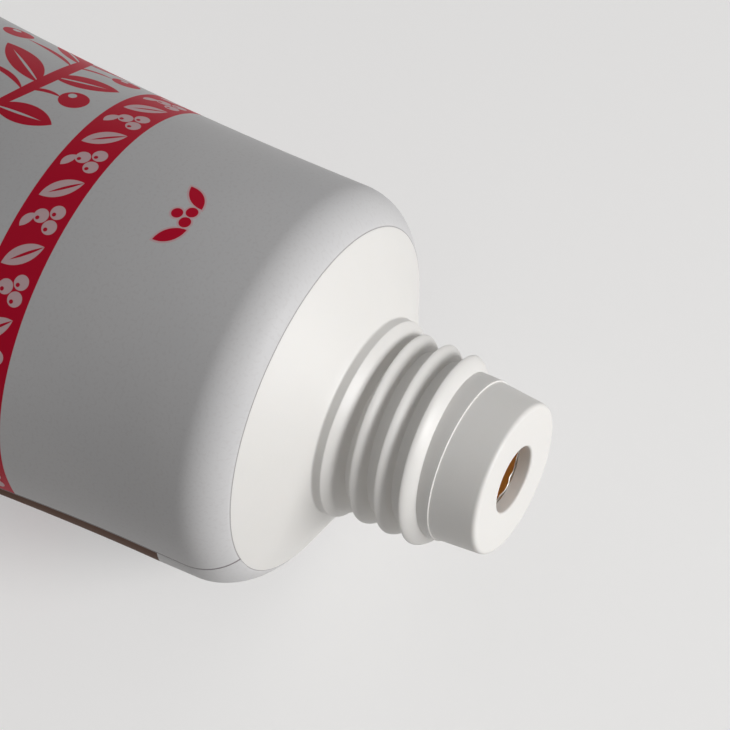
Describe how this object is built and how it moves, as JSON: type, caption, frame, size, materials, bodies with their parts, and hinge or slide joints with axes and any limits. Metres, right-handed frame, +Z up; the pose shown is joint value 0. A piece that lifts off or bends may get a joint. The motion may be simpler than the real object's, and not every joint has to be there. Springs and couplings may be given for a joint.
{
  "type": "hand cream tube",
  "caption": "Uncapped squeeze tube of hand cream lying on its back: round shoulder, screw neck with an open orifice, flat sealed tail.",
  "frame": {"origin": "centre of the box around the lying tube, on the surface that it lies on", "axes": "+Z up, +X along the tube towards its mouth; the mouth end points up by the tube's lean, and the front panel faces up"},
  "size_m": [0.1124, 0.0546, 0.0365],
  "materials": {
    "white_laminate": "printed white laminate with a soft satin sheen, crimson band and marks, a bare foil strip beyond the side seam",
    "white_moulding": "smooth injection-moulded white plastic, satin",
    "lacquered_foil": "thin foil with a gold-brown lacquer",
    "cream": "thick off-white cream, stands in for a soft paste"
  },
  "bodies": {
    "root": {"tube_sleeve": "white_laminate", "shoulder_neck": "white_moulding", "barrier_liner": "lacquered_foil", "cream_fill": "cream"}
  },
  "joints": []
}
